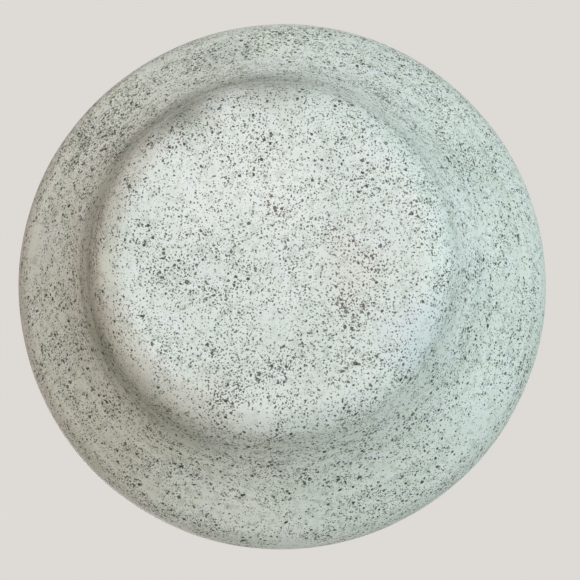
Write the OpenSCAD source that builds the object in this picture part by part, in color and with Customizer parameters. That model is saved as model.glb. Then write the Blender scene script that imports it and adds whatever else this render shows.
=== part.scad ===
// A turned stone mortar on a stepped foot, with its stone pestle leaning in the bowl.
// Millimetres, +Z up. The origin is the middle of the flat face that the mortar stands on.

/* [Mortar] */
// Diameter of the body at its widest
body_d = 165; // [155:1:180]
// Height from the foot's flat face to the top of the rim
body_h = 92; // [84:1:104]
// Height at which the flank turns upright
belly_h = 50; // [44:1:60]
// Slope of the flank above the foot, from level
flank_angle = 35; // [30:1:40]
// Thickness of the full-round rim
rim_w = 15; // [11:0.5:19]
// Thickness of stone under the middle of the bowl
floor_t = 26; // [20:1:32]

/* [Foot] */
// Diameter of the flat face that rests on the table
foot_d = 73; // [66:1:80]
// Radius of the worn edge round the flat face
foot_round = 11; // [8:0.5:13]
// Slope of the foot's side, from level
foot_angle = 58; // [52:1:64]
// Height at which the foot's side runs into the waist
foot_h = 10; // [8:0.5:12]
// Radius of the hollow between the foot and the flank
waist_round = 54; // [40:1:64]

/* [Pestle] */
// Length from the grinding end to the end of the handle
pestle_len = 148; // [136:1:156]
// Diameter of the round grinding head
head_d = 46; // [40:1:50]
// Diameter of the rounded end of the handle
knob_d = 32; // [30:1:36]
// Diameter at the narrowest place of the grip
grip_d = 26; // [24:1:29]
// Distance of the head from the middle of the bowl
head_shift = 12; // [0:1:20]
// Direction that the handle leans towards, from +X
lean_turn = 215; // [0:5:355]
// Gap kept between the pestle and the stone that it leans on
rest_gap = 0.3; // [0.2:0.1:1]

/* [Hidden] */
$fn = 128;
stone_colour = "#c9d3c0";
pestle_colour = "#bcc9b6";

body_r = body_d / 2;
rim_r = rim_w / 2;
rim_centre = [body_r - rim_r, body_h - rim_r];

// The foot's edge, and the hollow that carries its side over to the flank
edge_centre = [foot_d / 2, foot_round];
edge_end = edge_centre + foot_round * [sin(foot_angle), -cos(foot_angle)];
side_end = [edge_end.x + (foot_h - edge_end.y) / tan(foot_angle), foot_h];
waist_centre = side_end + waist_round * [sin(foot_angle), -cos(foot_angle)];
waist_end = waist_centre + waist_round * [-sin(flank_angle), cos(flank_angle)];

// The belly's arc starts along the flank and ends upright at the widest place
belly_up = (belly_h - waist_end.y) * cos(flank_angle);
belly_out = (body_r - waist_end.x) * sin(flank_angle);
belly_r = (belly_up - belly_out) / (1 - sin(flank_angle));
belly_centre = [body_r - belly_r, belly_h];

// The bowl is part of a sphere that stands on the floor and meets the rim's round smoothly
bowl_foot = floor_t - rim_r;
bowl_z = (rim_centre * rim_centre - bowl_foot * bowl_foot) / (2 * (rim_centre.y - bowl_foot));
bowl_r = bowl_z - floor_t;
mouth_angle = atan2(bowl_z - rim_centre.y, rim_centre.x);

// The grip is one hollow curve that meets the head's sphere and the knob's sphere smoothly
head_r = head_d / 2;
knob_r = knob_d / 2;
grip_r = grip_d / 2;
span = pestle_len - head_r - knob_r;
swell = (knob_r - grip_r) / (head_r - grip_r);
rest = knob_r * knob_r - grip_r * grip_r - swell * (head_r * head_r - grip_r * grip_r);
grip_s = (span - sqrt(span * span - (1 - swell) * (span * span - rest))) / (1 - swell);
curve_r = (grip_s * grip_s - head_r * head_r + grip_r * grip_r) / (2 * (head_r - grip_r));
curve_x = grip_r + curve_r;
head_turn = atan2(grip_s, curve_x);
knob_turn = atan2(span - grip_s, curve_x);

// The head stands on the bowl, and the lean is the one that brings the grip to the rim
head_reach = bowl_r - head_r - rest_gap;
head_pos = [-head_shift, bowl_z - sqrt(head_reach * head_reach - head_shift * head_shift)];
to_rim = rim_centre - head_pos;
lean_a = curve_x * to_rim.x + grip_s * to_rim.y;
lean_b = grip_s * to_rim.x - curve_x * to_rim.y;
curve_reach = curve_r - rim_r - rest_gap;
lean_c = (to_rim * to_rim + curve_x * curve_x + grip_s * grip_s - curve_reach * curve_reach) / 2;
lean = atan2(lean_b, lean_a) + acos(lean_c / norm([lean_a, lean_b]));

// Points along an arc, from one angle to the other. Where an arc goes on from another, first = 1
// leaves out the point that they share.
function arc(centre, r, from, to, steps, first = 0) =
    [for (i = [first:steps]) let (a = from + (to - from) * i / steps) centre + r * [cos(a), sin(a)]];

module mortar() {
    color(stone_colour)
        rotate_extrude()
            polygon(concat(
                [[0, 0]],
                arc(edge_centre, foot_round, -90, foot_angle - 90, 8),
                arc(waist_centre, waist_round, 90 + foot_angle, 90 + flank_angle, 6),
                arc(belly_centre, belly_r, flank_angle - 90, 0, 12),
                arc(rim_centre, rim_r, 0, 180 - mouth_angle, 16),
                arc([0, bowl_z], bowl_r, -mouth_angle, -90, 28, 1)
            ));
}

module pestle() {
    color(pestle_colour)
        rotate([0, 0, lean_turn])
            translate([head_pos.x, 0, head_pos.y])
                rotate([0, lean, 0])
                    rotate_extrude()
                        polygon(concat(
                            arc([0, 0], head_r, -90, head_turn, 20),
                            arc([curve_x, grip_s], curve_r, 180 + head_turn, 180 - knob_turn, 14, 1),
                            arc([0, span], knob_r, -knob_turn, 90, 16, 1)
                        ));
}

mortar();
pestle();
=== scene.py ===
import math

import bpy
from mathutils import Matrix, Vector


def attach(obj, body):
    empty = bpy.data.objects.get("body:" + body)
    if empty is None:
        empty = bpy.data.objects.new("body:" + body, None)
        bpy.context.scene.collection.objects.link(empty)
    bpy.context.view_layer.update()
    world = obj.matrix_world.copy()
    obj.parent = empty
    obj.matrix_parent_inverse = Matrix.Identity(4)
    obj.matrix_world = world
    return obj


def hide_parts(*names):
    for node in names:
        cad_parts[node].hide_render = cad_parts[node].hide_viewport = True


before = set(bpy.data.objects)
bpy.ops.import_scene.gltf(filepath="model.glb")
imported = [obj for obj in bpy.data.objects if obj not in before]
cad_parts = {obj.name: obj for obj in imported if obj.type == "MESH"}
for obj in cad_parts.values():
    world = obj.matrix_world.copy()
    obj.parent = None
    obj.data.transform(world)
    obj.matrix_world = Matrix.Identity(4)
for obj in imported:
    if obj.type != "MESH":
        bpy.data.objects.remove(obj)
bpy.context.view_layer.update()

# Camera
# The mortar is looked at from under its foot, close and almost square on, a little from the right and from
# the front. The picture's right is +X and its top is -Y.
mm = 0.001
picture_px = 580
focal_px = 684
sensor_mm = 36
eye = Vector((7.8, 26.5, -165)) * mm
aim = Vector((3.2, 4.5, 40)) * mm
forward = (aim - eye).normalized()
across = forward.cross(Vector((0, -1, 0))).normalized()
upward = across.cross(forward)
facing = Matrix((across, upward, -forward)).transposed().to_4x4()
camera_data = bpy.data.cameras.new("foot_camera")
camera_data.sensor_width = sensor_mm
camera_data.lens = sensor_mm * focal_px / picture_px
camera_data.clip_start = 10 * mm
camera = bpy.data.objects.new("foot_camera", camera_data)
camera.matrix_world = Matrix.Translation(eye) @ facing
bpy.context.scene.collection.objects.link(camera)
bpy.context.scene.camera = camera
bpy.context.scene.view_settings.view_transform = "Standard"


# Floor and light
# A plain pale floor just under the foot shows only from above, so that the foot can be seen through it. The
# room is bright underfoot and overhead and dim at the horizon. The light from underfoot is warm on the -X side
# and cool on the +X side, where there is a broad window, and the light from overhead is nearly white.
def linear(hex_colour):
    channels = [int(hex_colour[i:i + 2], 16) / 255 for i in (1, 3, 5)]
    return [*(c / 12.92 if c <= 0.04045 else ((c + 0.055) / 1.055) ** 2.4 for c in channels), 1]


def node(tree, kind, inputs=None, **settings):
    made = tree.nodes.new(kind)
    for name, value in settings.items():
        setattr(made, name, value)
    for socket, value in (inputs or {}).items():
        if isinstance(value, bpy.types.NodeSocket):
            tree.links.new(value, made.inputs[socket])
        else:
            made.inputs[socket].default_value = value
    return made


backdrop_colour = linear("#dedad6")
floor_side = 6
floor_drop = 0.5 * mm
paint_to = 0.15
backdrop_from = 0.6
bpy.ops.mesh.primitive_plane_add(size=floor_side, location=(0, 0, -floor_drop))
floor = bpy.context.object
floor.name = "floor"
for rays in ("diffuse", "glossy", "transmission", "shadow"):
    setattr(floor, "visible_" + rays, False)
floor_paint = bpy.data.materials.new("pale_floor_paint")
floor_paint.use_nodes = True
tree = floor_paint.node_tree
tree.nodes.clear()
seen_from_below = node(tree, "ShaderNodeNewGeometry").outputs["Backfacing"]
# Near the mortar the floor takes its shadow, in a paint a little cooler than the backdrop under a warmer light
paint = node(tree, "ShaderNodeBsdfDiffuse", {"Color": linear("#d8dbdb")})
far_paint = node(tree, "ShaderNodeEmission", {"Color": backdrop_colour})
spot_on_floor = node(tree, "ShaderNodeTexCoord").outputs["Object"]
from_middle = node(tree, "ShaderNodeVectorMath", {0: spot_on_floor}, operation="LENGTH")
far = node(
    tree, "ShaderNodeMapRange",
    {"Value": from_middle.outputs["Value"], "From Min": paint_to, "From Max": backdrop_from},
    interpolation_type="SMOOTHSTEP")
seamless = node(
    tree, "ShaderNodeMixShader", {0: far.outputs[0], 1: paint.outputs[0], 2: far_paint.outputs[0]})
gap = node(tree, "ShaderNodeBsdfTransparent")
either = node(tree, "ShaderNodeMixShader", {0: seen_from_below, 1: seamless.outputs[0], 2: gap.outputs[0]})
node(tree, "ShaderNodeOutputMaterial", {"Surface": either.outputs[0]})
floor.data.materials.append(floor_paint)

world = bpy.data.worlds.new("bright_room")
world.use_nodes = True
tree = world.node_tree
tree.nodes.clear()
towards = node(tree, "ShaderNodeTexCoord").outputs["Generated"]
direction = node(tree, "ShaderNodeSeparateXYZ", {0: towards})
sideways = direction.outputs["X"]
height = direction.outputs["Z"]
steepness = node(tree, "ShaderNodeMath", {0: height, 1: height}, operation="MULTIPLY").outputs[0]
# Underfoot on the -X side and on the +X side, then overhead on the -X side and on the +X side
glows = []
for colour, strength, least, level in (
    ("#ff9540", 1.42, 0, steepness),
    ("#cdfbff", 2.43, 0.16, steepness),
    ("#ffffff", 1.4, 0.04, steepness),
    ("#ffeee2", 1.25, 0.1, height),
):
    bright = node(tree, "ShaderNodeMath", {0: level, 1: strength, 2: least}, operation="MULTIPLY_ADD")
    glow = node(tree, "ShaderNodeBackground", {"Color": linear(colour), "Strength": bright.outputs[0]})
    glows.append(glow.outputs[0])
window_side = node(
    tree, "ShaderNodeMapRange", {"Value": sideways, "From Min": -1, "From Max": 1}).outputs[0]
underfoot = node(tree, "ShaderNodeMixShader", {0: window_side, 1: glows[0], 2: glows[1]})
overhead = node(tree, "ShaderNodeMixShader", {0: window_side, 1: glows[2], 2: glows[3]})
horizon = 0.05
upper = node(tree, "ShaderNodeMapRange", {"Value": height, "From Min": -horizon, "From Max": horizon})
room = node(
    tree, "ShaderNodeMixShader", {0: upper.outputs[0], 1: underfoot.outputs[0], 2: overhead.outputs[0]})
backdrop = node(tree, "ShaderNodeBackground", {"Color": backdrop_colour})
looked_at = node(tree, "ShaderNodeLightPath").outputs["Is Camera Ray"]
sky = node(tree, "ShaderNodeMixShader", {0: looked_at, 1: room.outputs[0], 2: backdrop.outputs[0]})
node(tree, "ShaderNodeOutputWorld", {"Surface": sky.outputs[0]})
bpy.context.scene.world = world

middle = Vector((0, 0, 40 * mm))
for name, place, side, watts, colour in (
    ("window", Vector((0.42, -0.38, -0.82)), 0.6, 3.3, "#eaedfb"),
    ("overhead", Vector((-0.45, 0.35, 0.90)), 0.7, 3.4, "#ffffff"),
):
    lamp_data = bpy.data.lights.new(name, "AREA")
    lamp_data.size = side
    lamp_data.energy = watts
    lamp_data.color = linear(colour)[:3]
    lamp = bpy.data.objects.new(name, lamp_data)
    lamp.location = place
    lamp.rotation_euler = (middle - place).to_track_quat("-Z", "Y").to_euler()
    bpy.context.scene.collection.objects.link(lamp)


# Mortar
# One block of pale green speckled granite, turned to a stepped foot, a hollow waist, a sloping flank, an
# upright wall and a round rim, and hollowed to a ball-shaped bowl. It is honed by hand to a matt, very slightly
# uneven skin, and stands loose on its sawn foot.
body_r = 82.5 * mm
body_h = 92 * mm
belly_h = 50 * mm
flank_angle = math.radians(35)
rim_r = 7.5 * mm
bowl_floor = 26 * mm
foot_r = 36.5 * mm
foot_round = 11 * mm
foot_angle = math.radians(58)
foot_h = 10 * mm
waist_round = 54 * mm


def arc(centre, r, start, end, steps):
    turns = [start + (end - start) * i / steps for i in range(steps + 1)]
    return [(centre[0] + r * math.cos(a), centre[1] + r * math.sin(a)) for a in turns]


quarter = math.pi / 2
edge = arc((foot_r, foot_round), foot_round, -quarter, foot_angle - quarter, steps=24)
side_end = (edge[-1][0] + (foot_h - edge[-1][1]) / math.tan(foot_angle), foot_h)
waist_x = side_end[0] + waist_round * math.sin(foot_angle)
waist_z = side_end[1] - waist_round * math.cos(foot_angle)
waist = arc((waist_x, waist_z), waist_round, quarter + foot_angle, quarter + flank_angle, steps=24)
rise = (belly_h - waist[-1][1]) * math.cos(flank_angle)
reach = (body_r - waist[-1][0]) * math.sin(flank_angle)
belly_r = (rise - reach) / (1 - math.sin(flank_angle))
belly = arc((body_r - belly_r, belly_h), belly_r, flank_angle - quarter, 0, steps=32)
rim_x = body_r - rim_r
rim_z = body_h - rim_r
bowl_base = bowl_floor - rim_r
bowl_z = (rim_x ** 2 + rim_z ** 2 - bowl_base ** 2) / (2 * (rim_z - bowl_base))
bowl_r = bowl_z - bowl_floor
mouth_angle = math.atan2(bowl_z - rim_z, rim_x)
rim = arc((rim_x, rim_z), rim_r, 0, math.pi - mouth_angle, steps=32)
bowl = arc((0, bowl_z), bowl_r, -mouth_angle, -quarter, steps=64)
mortar_profile = [(0, 0), *edge, *waist, *belly, *rim, *bowl[1:]]


def profile_length(points):
    return sum(math.dist(a, b) for a, b in zip(points, points[1:]))


# A turned stone: its profile is spun round Z, keeps its length along the profile as "along", and is dressed by
# hand in slow waves that only take stone away, and none from a flat face at the profile's start
flat_fade = 6 * mm
same_point = 0.002 * mm
turned = bpy.data.node_groups.new("turned_stone", "GeometryNodeTree")
turned.interface.new_socket("Profile", in_out="INPUT", socket_type="NodeSocketGeometry")
for name, kind in (
    ("Facets", "NodeSocketInt"), ("Steps", "NodeSocketInt"), ("Flat To", "NodeSocketFloat"),
    ("Wave Depth", "NodeSocketFloat"), ("Wave Length", "NodeSocketFloat"),
    ("Seed", "NodeSocketFloat"), ("Stone", "NodeSocketMaterial"),
):
    turned.interface.new_socket(name, in_out="INPUT", socket_type=kind)
turned.interface.new_socket("Piece", in_out="OUTPUT", socket_type="NodeSocketGeometry")
given = node(turned, "NodeGroupInput").outputs
line = node(turned, "GeometryNodeMeshToCurve", {"Mesh": given["Profile"]})
columns = node(turned, "ShaderNodeMath", {0: given["Facets"], 1: 1}, operation="ADD")
sheet = node(
    turned, "GeometryNodeMeshGrid", {"Vertices X": columns.outputs[0], "Vertices Y": given["Steps"]})
share = node(turned, "ShaderNodeSeparateXYZ", {0: sheet.outputs["UV Map"]})
spot = node(
    turned, "GeometryNodeSampleCurve", {"Curves": line.outputs[0], "Factor": share.outputs["Y"]},
    mode="FACTOR")
flat_spot = node(turned, "ShaderNodeSeparateXYZ", {0: spot.outputs["Position"]})
radius = flat_spot.outputs["X"]
turn = node(turned, "ShaderNodeMath", {0: share.outputs["X"], 1: math.tau}, operation="MULTIPLY")
east = node(turned, "ShaderNodeMath", {0: turn.outputs[0]}, operation="COSINE")
north = node(turned, "ShaderNodeMath", {0: turn.outputs[0]}, operation="SINE")
east_r = node(turned, "ShaderNodeMath", {0: east.outputs[0], 1: radius}, operation="MULTIPLY")
north_r = node(turned, "ShaderNodeMath", {0: north.outputs[0], 1: radius}, operation="MULTIPLY")
place = node(
    turned, "ShaderNodeCombineXYZ",
    {"X": east_r.outputs[0], "Y": north_r.outputs[0], "Z": flat_spot.outputs["Z"]})
length = node(turned, "GeometryNodeCurveLength", {"Curve": line.outputs[0]})
along = node(turned, "ShaderNodeMath", {0: share.outputs["Y"], 1: length.outputs[0]}, operation="MULTIPLY")
marked = node(
    turned, "GeometryNodeStoreNamedAttribute",
    {"Geometry": sheet.outputs["Mesh"], "Name": "along", "Value": along.outputs[0]}, data_type="FLOAT")
spun = node(
    turned, "GeometryNodeSetPosition", {"Geometry": marked.outputs[0], "Position": place.outputs[0]})
closed = node(turned, "GeometryNodeMergeByDistance", {"Geometry": spun.outputs[0], "Distance": same_point})
waves_per_m = node(turned, "ShaderNodeMath", {0: 1, 1: given["Wave Length"]}, operation="DIVIDE")
waves = node(
    turned, "ShaderNodeTexNoise",
    {"W": given["Seed"], "Scale": waves_per_m.outputs[0], "Detail": 2, "Roughness": 0.4},
    noise_dimensions="4D")
saved = node(turned, "GeometryNodeInputNamedAttribute", {"Name": "along"}, data_type="FLOAT")
past_flat = node(turned, "ShaderNodeMath", {0: given["Flat To"], 1: flat_fade}, operation="ADD")
off_flat = node(
    turned, "ShaderNodeMapRange",
    {"Value": saved.outputs[0], "From Min": given["Flat To"], "From Max": past_flat.outputs[0]},
    interpolation_type="SMOOTHSTEP")
cut = node(turned, "ShaderNodeMath", {0: waves.outputs[0], 1: off_flat.outputs[0]}, operation="MULTIPLY")
depth = node(turned, "ShaderNodeMath", {0: cut.outputs[0], 1: given["Wave Depth"]}, operation="MULTIPLY")
inward = node(turned, "ShaderNodeMath", {0: depth.outputs[0], 1: -1}, operation="MULTIPLY")
outward = node(turned, "GeometryNodeInputNormal")
offset = node(
    turned, "ShaderNodeVectorMath", {0: outward.outputs[0], "Scale": inward.outputs[0]}, operation="SCALE")
dressed = node(
    turned, "GeometryNodeSetPosition", {"Geometry": closed.outputs[0], "Offset": offset.outputs[0]})
smooth = node(turned, "GeometryNodeSetShadeSmooth", {"Geometry": dressed.outputs[0]})
real = node(turned, "GeometryNodeRealizeInstances", {"Geometry": smooth.outputs[0]})
finished = node(
    turned, "GeometryNodeSetMaterial", {"Geometry": real.outputs[0], "Material": given["Stone"]})
node(turned, "NodeGroupOutput", {"Piece": finished.outputs[0]})


def turned_piece(name, profile, sizes):
    line_mesh = bpy.data.meshes.new(name)
    points = [(r, 0, z) for r, z in profile]
    line_mesh.from_pydata(points, [(i, i + 1) for i in range(len(points) - 1)], [])
    piece = bpy.data.objects.new(name, line_mesh)
    bpy.context.scene.collection.objects.link(piece)
    lathe = piece.modifiers.new("turned_stone", "NODES")
    lathe.node_group = turned
    for item in turned.interface.items_tree:
        if item.in_out == "INPUT" and item.name in sizes:
            lathe[item.identifier] = sizes[item.name]
    seen = piece.evaluated_get(bpy.context.evaluated_depsgraph_get())
    mesh = bpy.data.meshes.new_from_object(seen)
    piece.modifiers.remove(lathe)
    piece.data = mesh
    return piece


# Honed granite: a pale green-white ground of fine crystals with bluish flecks, crowded with dark green and
# black mineral grains. It is sawn, turned, and rubbed with wet grit, which leaves it matt with a faint broad
# sheen and a fine tooth. Real grains go down to a tenth of a millimetre, and here the finest are 0.4 to 0.6 mm,
# because finer ones would be lost between the picture's pixels.
sawn_fade = 15 * mm


def speckled_granite(name, drifts, stains_and_painted_light, groove_shade_and_light, rust, face, groove, worn_from, worn_to):
    stone = bpy.data.materials.new(name)
    stone.use_nodes = True
    tree = stone.node_tree
    tree.nodes.clear()
    where = node(tree, "ShaderNodeTexCoord").outputs["Object"]
    where_mm = node(tree, "ShaderNodeVectorMath", {0: where, "Scale": 1 / mm}, operation="SCALE").outputs[0]
    # The block was cut askew to the rock's own grain
    bed = node(
        tree, "ShaderNodeMapping",
        {"Vector": where_mm, "Location": (37.3, 11.7, 53.9), "Rotation": (0.5, 0.8, 0.3)}).outputs[0]
    along = node(tree, "ShaderNodeAttribute", attribute_name="along").outputs["Fac"]

    # Broad clouds, and bluish-white flecks of feldspar
    cloud_mm = 18
    fleck_mm = 6
    clouds = node(
        tree, "ShaderNodeTexNoise", {"Vector": bed, "Scale": 1 / cloud_mm, "Detail": 3, "Roughness": 0.55})
    ground = node(
        tree, "ShaderNodeMix",
        {"Factor": clouds.outputs[0], "A": linear("#c1cec5"), "B": linear("#ecf1ee")}, data_type="RGBA")
    flecks = node(
        tree, "ShaderNodeTexNoise", {"Vector": bed, "Scale": 1 / fleck_mm, "Detail": 3, "Roughness": 0.6})
    fleck_cover = node(
        tree, "ShaderNodeMapRange",
        {"Value": flecks.outputs[0], "From Min": 0.52, "From Max": 0.70, "To Max": 0.6},
        interpolation_type="SMOOTHSTEP")
    colour = node(
        tree, "ShaderNodeMix",
        {"Factor": fleck_cover.outputs[0], "A": ground.outputs["Result"], "B": linear("#e0e5ea")},
        data_type="RGBA").outputs["Result"]

    # The sawn foot is paler than the skin around it, with finer grains and fainter smudges
    off_face = node(
        tree, "ShaderNodeMapRange", {"Value": along, "From Min": face, "From Max": face + sawn_fade},
        interpolation_type="SMOOTHSTEP").outputs[0]
    pale = node(tree, "ShaderNodeMapRange", {"Value": off_face, "To Min": 0.26, "To Max": 0})
    colour = node(
        tree, "ShaderNodeMix", {"Factor": pale.outputs[0], "A": colour, "B": linear("#e9eff4")},
        data_type="RGBA").outputs["Result"]

    # Stains of the ground that this block shows, and patches of painted light and painted shade, with ragged
    # edges
    ragged_mm = 4
    ragged = node(tree, "ShaderNodeTexNoise", {"Vector": bed, "Scale": 1 / ragged_mm, "Detail": 3})
    for centre, radius, strength, stain_and_painted_light_colour in stains_and_painted_light:
        off = node(tree, "ShaderNodeVectorMath", {0: where_mm, 1: centre}, operation="DISTANCE")
        rough_off = node(
            tree, "ShaderNodeMath", {0: ragged.outputs[0], 1: radius, 2: off.outputs["Value"]},
            operation="MULTIPLY_ADD")
        near = node(
            tree, "ShaderNodeMapRange",
            {"Value": rough_off.outputs[0], "From Min": 1.5 * radius, "From Max": 0.5 * radius,
             "To Max": strength},
            interpolation_type="SMOOTHSTEP")
        colour = node(
            tree, "ShaderNodeMix", {"Factor": near.outputs[0], "A": colour, "B": linear(stain_and_painted_light_colour)},
            data_type="RGBA").outputs["Result"]

    # Painted shade in the groove round the foot, darker toward -Y and all round the -X side, and painted light
    # in it on the +X side
    groove_shade_core = 1 * mm
    groove_shade_reach = 9 * mm
    past_groove = node(tree, "ShaderNodeMath", {0: along, 1: groove}, operation="SUBTRACT")
    off_groove = node(tree, "ShaderNodeMath", {0: past_groove.outputs[0]}, operation="ABSOLUTE")
    in_groove = node(
        tree, "ShaderNodeMapRange",
        {"Value": off_groove.outputs[0], "From Min": groove_shade_reach, "From Max": groove_shade_core},
        interpolation_type="SMOOTHSTEP").outputs[0]
    for centre, radius, strength, groove_paint_colour in groove_shade_and_light:
        off = node(tree, "ShaderNodeVectorMath", {0: where_mm, 1: centre}, operation="DISTANCE")
        near = node(
            tree, "ShaderNodeMapRange",
            {"Value": off.outputs["Value"], "From Min": radius, "From Max": 0.4 * radius,
             "To Max": strength},
            interpolation_type="SMOOTHSTEP")
        groove_paint = node(tree, "ShaderNodeMath", {0: near.outputs[0], 1: in_groove}, operation="MULTIPLY")
        colour = node(
            tree, "ShaderNodeMix", {"Factor": groove_paint.outputs[0], "A": colour, "B": linear(groove_paint_colour)},
            data_type="RGBA").outputs["Result"]

    # Turning and honing leave faint pale rings off the sawn foot, which fade in and out along their length.
    # Real marks are finer than a millimetre, and these are drawn wider so that they show.
    ring_wide_mm = 2.5
    ring_long_mm = 28
    ring_turn = node(
        tree, "ShaderNodeMath", {0: along, 1: ring_long_mm / (ring_wide_mm * mm)}, operation="MULTIPLY")
    rings = node(
        tree, "ShaderNodeTexNoise",
        {"Vector": bed, "W": ring_turn.outputs[0], "Scale": 1 / ring_long_mm, "Detail": 2},
        noise_dimensions="4D")
    on_ring = node(
        tree, "ShaderNodeMapRange", {"Value": rings.outputs[0], "From Min": 0.40, "From Max": 0.68},
        interpolation_type="SMOOTHSTEP").outputs[0]
    ring_most = node(tree, "ShaderNodeMath", {0: off_face, 1: 0.22}, operation="MULTIPLY")
    ring_cover = node(tree, "ShaderNodeMath", {0: on_ring, 1: ring_most.outputs[0]}, operation="MULTIPLY")
    colour = node(
        tree, "ShaderNodeMix", {"Factor": ring_cover.outputs[0], "A": colour, "B": linear("#f0f4ee")},
        data_type="RGBA").outputs["Result"]

    # Where the grains crowd: drifts of the rock, those that this block shows, and the skin between the rings
    crowd_mm = 9
    crowd_gain = 0.30
    crowd = node(
        tree, "ShaderNodeTexNoise", {"Vector": bed, "Scale": 1 / crowd_mm, "Detail": 4, "Roughness": 0.6})
    crowding = node(
        tree, "ShaderNodeMapRange",
        {"Value": crowd.outputs[0], "From Min": 0.2, "From Max": 0.8, "To Min": -crowd_gain,
         "To Max": crowd_gain}).outputs[0]
    for centre, radius, gain in drifts:
        off = node(tree, "ShaderNodeVectorMath", {0: where_mm, 1: centre}, operation="DISTANCE")
        near = node(
            tree, "ShaderNodeMapRange",
            {"Value": off.outputs["Value"], "From Min": radius, "From Max": 0, "To Max": gain},
            interpolation_type="SMOOTHSTEP")
        crowding = node(
            tree, "ShaderNodeMath", {0: crowding, 1: near.outputs[0]}, operation="ADD").outputs[0]
    ring_gain = node(tree, "ShaderNodeMapRange", {"Value": on_ring, "To Min": 0.05, "To Max": -0.12})
    crowding = node(
        tree, "ShaderNodeMath", {0: ring_gain.outputs[0], 1: off_face, 2: crowding},
        operation="MULTIPLY_ADD").outputs[0]

    # Greenish smudges where grains lie just under the skin
    smudge_mm = 2
    smudge = node(
        tree, "ShaderNodeTexNoise", {"Vector": bed, "Scale": 1 / smudge_mm, "Detail": 2, "Roughness": 0.5})
    crowded_smudge = node(
        tree, "ShaderNodeMath", {0: crowding, 1: 0.1, 2: smudge.outputs[0]}, operation="MULTIPLY_ADD")
    smudge_most = node(tree, "ShaderNodeMapRange", {"Value": off_face, "To Min": 0.26, "To Max": 0.38})
    smudge_cover = node(
        tree, "ShaderNodeMapRange",
        {"Value": crowded_smudge.outputs[0], "From Min": 0.48, "From Max": 0.70,
         "To Max": smudge_most.outputs[0]},
        interpolation_type="SMOOTHSTEP")
    colour = node(
        tree, "ShaderNodeMix", {"Factor": smudge_cover.outputs[0], "A": colour, "B": linear("#8c9c88")},
        data_type="RGBA").outputs["Result"]

    # A fine pepper of dark mineral
    pepper_mm = 0.42
    pepper = node(
        tree, "ShaderNodeTexNoise", {"Vector": bed, "Scale": 1 / pepper_mm, "Detail": 2, "Roughness": 0.6})
    crowded_pepper = node(
        tree, "ShaderNodeMath", {0: crowding, 1: 0.2, 2: pepper.outputs[0]}, operation="MULTIPLY_ADD")
    dark = node(
        tree, "ShaderNodeMapRange",
        {"Value": crowded_pepper.outputs[0], "From Min": 0.615, "From Max": 0.65}).outputs[0]
    colour = node(
        tree, "ShaderNodeMix", {"Factor": dark, "A": colour, "B": linear("#30382f")},
        data_type="RGBA").outputs["Result"]

    # Grains in three sizes, each a ragged ball in a cell of the rock, cut by the skin to a speck
    jitter_mm = 0.5
    jitter_reach_mm = 0.6
    grain_edge_mm = 0.07
    jitter = node(tree, "ShaderNodeTexNoise", {"Vector": bed, "Scale": 1 / jitter_mm, "Detail": 1})
    uneven = node(
        tree, "ShaderNodeVectorMath", {0: jitter.outputs["Color"], 1: (jitter_reach_mm,) * 3, 2: bed},
        operation="MULTIPLY_ADD").outputs[0]
    for cell_mm, rare, common, radius, more_off_face, black, green in (
        (0.58, 0.235, 0.72, 0.46, -0.06, "#282f28", "#30402b"),
        (1.1, 0.50, 1, 0.41, 0.12, "#2b312b", "#33482f"),
        (2.2, 0.80, 1, 0.27, 0.10, "#2a3029", "#33482f"),
    ):
        grains = node(tree, "ShaderNodeTexVoronoi", {"Vector": uneven, "Scale": 1 / cell_mm})
        luck = node(tree, "ShaderNodeSeparateColor", {0: grains.outputs["Color"]})
        met = node(tree, "ShaderNodeMath", {0: luck.outputs[0], 1: crowding}, operation="ADD")
        likely = node(
            tree, "ShaderNodeMath", {0: off_face, 1: more_off_face, 2: met.outputs[0]},
            operation="MULTIPLY_ADD")
        grown = node(
            tree, "ShaderNodeMapRange",
            {"Value": likely.outputs[0], "From Min": rare, "From Max": common, "To Max": radius})
        inside = node(
            tree, "ShaderNodeMath", {0: grown.outputs[0], 1: grains.outputs["Distance"]},
            operation="SUBTRACT")
        strong = node(tree, "ShaderNodeMapRange", {"Value": luck.outputs[1], "To Min": 0.7})
        cover = node(
            tree, "ShaderNodeMapRange",
            {"Value": inside.outputs[0], "From Max": grain_edge_mm / cell_mm, "To Max": strong.outputs[0]})
        mineral = node(
            tree, "ShaderNodeMix", {"Factor": luck.outputs[2], "A": linear(black), "B": linear(green)},
            data_type="RGBA")
        colour = node(
            tree, "ShaderNodeMix",
            {"Factor": cover.outputs[0], "A": colour, "B": mineral.outputs["Result"]},
            data_type="RGBA").outputs["Result"]
        dark = node(tree, "ShaderNodeMath", {0: dark, 1: cover.outputs[0]}, operation="MAXIMUM").outputs[0]

    # Rust has seeped out of the grains in places
    for centre, radius, strength in rust:
        off = node(tree, "ShaderNodeVectorMath", {0: where_mm, 1: centre}, operation="DISTANCE")
        near = node(
            tree, "ShaderNodeMapRange",
            {"Value": off.outputs["Value"], "From Min": radius, "From Max": 0, "To Max": strength},
            interpolation_type="SMOOTHSTEP")
        rusty = node(tree, "ShaderNodeMath", {0: near.outputs[0], 1: dark}, operation="MULTIPLY")
        colour = node(
            tree, "ShaderNodeMix", {"Factor": rusty.outputs[0], "A": colour, "B": linear("#6b4b40")},
            data_type="RGBA").outputs["Result"]

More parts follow.
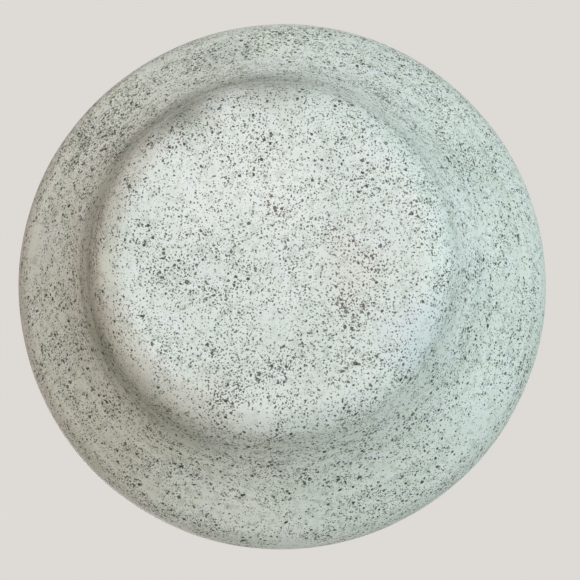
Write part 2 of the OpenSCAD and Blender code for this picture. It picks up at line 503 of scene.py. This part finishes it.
    # Grinding leaves the working face paler and smoother than the rest
    worn = node(
        tree, "ShaderNodeMapRange", {"Value": along, "From Min": worn_from, "From Max": worn_to},
        interpolation_type="SMOOTHSTEP").outputs[0]
    worn_cover = node(tree, "ShaderNodeMath", {0: worn, 1: 0.35}, operation="MULTIPLY")
    colour = node(
        tree, "ShaderNodeMix", {"Factor": worn_cover.outputs[0], "A": colour, "B": linear("#e4e7e1")},
        data_type="RGBA").outputs["Result"]
    gloss = node(tree, "ShaderNodeMapRange", {"Value": dark, "To Min": 0.64, "To Max": 0.50})
    roughness = node(
        tree, "ShaderNodeMath", {0: worn, 1: -0.08, 2: gloss.outputs[0]}, operation="MULTIPLY_ADD")

    # The tooth of the honed skin, drawn coarser than the real one so that it shows
    tooth_mm = 1.5
    tooth_depth = 0.06 * mm
    tooth = node(tree, "ShaderNodeTexNoise", {"Vector": bed, "Scale": 1 / tooth_mm, "Detail": 2})
    relief = node(
        tree, "ShaderNodeBump", {"Strength": 0.5, "Distance": tooth_depth, "Height": tooth.outputs[0]})
    skin = node(
        tree, "ShaderNodeBsdfPrincipled",
        {"Base Color": colour, "Roughness": roughness.outputs[0], "IOR": 1.5, "Normal": relief.outputs[0]})
    node(tree, "ShaderNodeOutputMaterial", {"Surface": skin.outputs[0]})
    return stone


# What this block shows, and the light and shade painted on it, each with its centre and its radius in
# millimetres. A drift says how much more or less the grains crowd there, a stain, a patch of painted light or
# shade, or the groove's painted shade how strong it is and its colour, and rust how strong it is.
drifts = (
    ((-52, -46, 30), 27, 0.24), ((-5, -70, 30), 25, 0.09), ((-47, -4, 7), 7, 0.1),
    ((-60, 19, 25), 8, 0.1), ((-43, 22, 10), 7, 0.1), ((-17, 1, 0), 9, 0.12), ((-9, 33, 0), 8, 0.34),
    ((19, 13, 0), 7, 0.32), ((25, -2, 0), 14, 0.04), ((13, -8, 0), 7, 0.1), ((21, -24, 0), 9, -0.1),
    ((23, 45, 12), 8, 0.1), ((43, 31, 16), 9, 0.1), ((55, -1, 18), 8, 0.1), ((-42, -33, 16), 9, 0.24),
    ((-56, -37, 27), 9, 0.22), ((-18, -14, 0), 9, -0.2), ((0, -31, 0), 9, -0.1), ((6, 20, 0), 9, -0.08),
    ((-5, 41, 1), 8, -0.4), ((36, 18, 1), 9, -0.2), ((57, 42, 30), 20, -0.2), ((70, -10, 30), 30, -0.06),
    ((-71, -7, 31), 12, -0.15), ((8, 70, 30), 28, -0.1), ((-33, 26, 2), 9, -0.2),
    ((-22, 36, 2), 9, -0.25), ((-41, 3, 3), 8, -0.15),
)
# Among these, the paler disc toward -Y and the darker patches on the disc toward +Y, the pale patches on the
# foot's edge at -X and at +X, the pale belly toward -X -Y and toward -Y, the darker belly toward -X +Y, and the
# dark patches on the foot's edge toward -Y are painted light and painted shade; the rest are stains of the
# stone.
stains_and_painted_light = (
    ((19, 3, 0), 13, 0.22, "#d6cbc1"), ((34, 20, 1), 15, 0.6, "#c8d5dd"),
    ((57, 42, 30), 13, 0.35, "#dde8e8"), ((-10, -22, 0), 34, 0.45, "#f1f4f1"),
    ((8, 33, 0), 26, 0.3, "#c6cec8"), ((-44, 2, 4), 11, 0.7, "#e9f5ee"),
    ((-50, -52, 32), 36, 0.6, "#edf4ec"), ((-50, 50, 26), 42, 0.4, "#b4b3a4"),
    ((-24, -38, 4), 15, 0.65, "#868c80"), ((0, -44, 4), 15, 0.48, "#93988a"),
    ((0, -71, 29), 18, 0.5, "#f2f8f0"), ((-37, 21, 4), 8, 0.4, "#ecf5ee"),
    ((45, 3, 4), 9, 0.5, "#f2f5f6"), ((-17, 33, 0), 13, 0.3, "#c9c6bc"),
)
# The groove's painted shade, darker toward -Y and all round the -X side, and its painted light at +X
groove_shade_and_light = (
    ((-22, -50, 14), 46, 0.42, "#818a7d"), ((-37, 37, 14), 36, 0.45, "#6f7d6a"),
    ((-52, 2, 14), 36, 0.38, "#677a64"), ((50, 0, 12), 34, 0.45, "#f4f8f6"),
)
rust = (((19, -4, 0), 14, 0.7), ((19, 11, 0), 10, 0.6), ((0, -12, 0), 7, 0.4))
# The groove lies 9 mm up the profile from the end of the foot's round edge
groove = foot_r + foot_angle * foot_round + 9 * mm
worn_from = profile_length([(0, 0), *edge, *waist, *belly, *rim])
worn_to = worn_from + 45 * mm
mortar_stone = speckled_granite(
    "honed_speckled_granite", drifts, stains_and_painted_light, groove_shade_and_light, rust, face=foot_r, groove=groove,
    worn_from=worn_from, worn_to=worn_to)
mortar = turned_piece("mortar_stone", mortar_profile, {
    "Facets": 400, "Steps": 240, "Flat To": foot_r, "Wave Depth": 0.9 * mm, "Wave Length": 45 * mm,
    "Seed": 3.0, "Stone": mortar_stone,
})
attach(mortar, "mortar")
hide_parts("mortar")

# Pestle
# One club of the same granite, turned to a round grinding head, a long hollow grip and a rounded handle end,
# and honed all over. It is loose: its head stands on the bowl and its grip leans on the rim.
pestle_length = 148 * mm
head_r = 23 * mm
knob_r = 16 * mm
grip_r = 13 * mm
head_shift = 12 * mm
lean_turn = math.radians(215)
rest_gap = 0.3 * mm
span = pestle_length - head_r - knob_r
swell = (knob_r - grip_r) / (head_r - grip_r)
left_over = knob_r ** 2 - grip_r ** 2 - swell * (head_r ** 2 - grip_r ** 2)
grip_s = (span - math.sqrt(span ** 2 - (1 - swell) * (span ** 2 - left_over))) / (1 - swell)
curve_r = (grip_s ** 2 - head_r ** 2 + grip_r ** 2) / (2 * (head_r - grip_r))
curve_x = grip_r + curve_r
head_turn = math.atan2(grip_s, curve_x)
knob_turn = math.atan2(span - grip_s, curve_x)
pestle_profile = [
    *arc((0, 0), head_r, -quarter, head_turn, steps=40),
    *arc((curve_x, grip_s), curve_r, math.pi + head_turn, math.pi - knob_turn, steps=40)[1:],
    *arc((0, span), knob_r, -knob_turn, quarter, steps=32)[1:],
]
# The lean at which the grip's hollow curve comes to rest on the rim's round
head_reach = bowl_r - head_r - rest_gap
head_z = bowl_z - math.sqrt(head_reach ** 2 - head_shift ** 2)
to_rim = Vector((rim_x + head_shift, rim_z - head_z))
lean_a = curve_x * to_rim.x + grip_s * to_rim.y
lean_b = grip_s * to_rim.x - curve_x * to_rim.y
curve_reach = curve_r - rim_r - rest_gap
lean_c = (to_rim.dot(to_rim) + curve_x ** 2 + grip_s ** 2 - curve_reach ** 2) / 2
lean = math.atan2(lean_b, lean_a) + math.acos(lean_c / math.hypot(lean_a, lean_b))
# It has no sawn face, so its pattern and its waves start before the profile does
pestle_stone = speckled_granite(
    "honed_speckled_granite_club", (), (), (), (), face=-sawn_fade, groove=0,
    worn_from=44 * mm, worn_to=28 * mm)
pestle = turned_piece("pestle_stone", pestle_profile, {
    "Facets": 160, "Steps": 240, "Flat To": -flat_fade, "Wave Depth": 0.5 * mm, "Wave Length": 30 * mm,
    "Seed": 7.0, "Stone": pestle_stone,
})
stand = Matrix.Rotation(lean_turn, 4, "Z") @ Matrix.Translation((-head_shift, 0, head_z))
pestle.data.transform(stand @ Matrix.Rotation(lean, 4, "Y"))
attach(pestle, "pestle")
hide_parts("pestle")
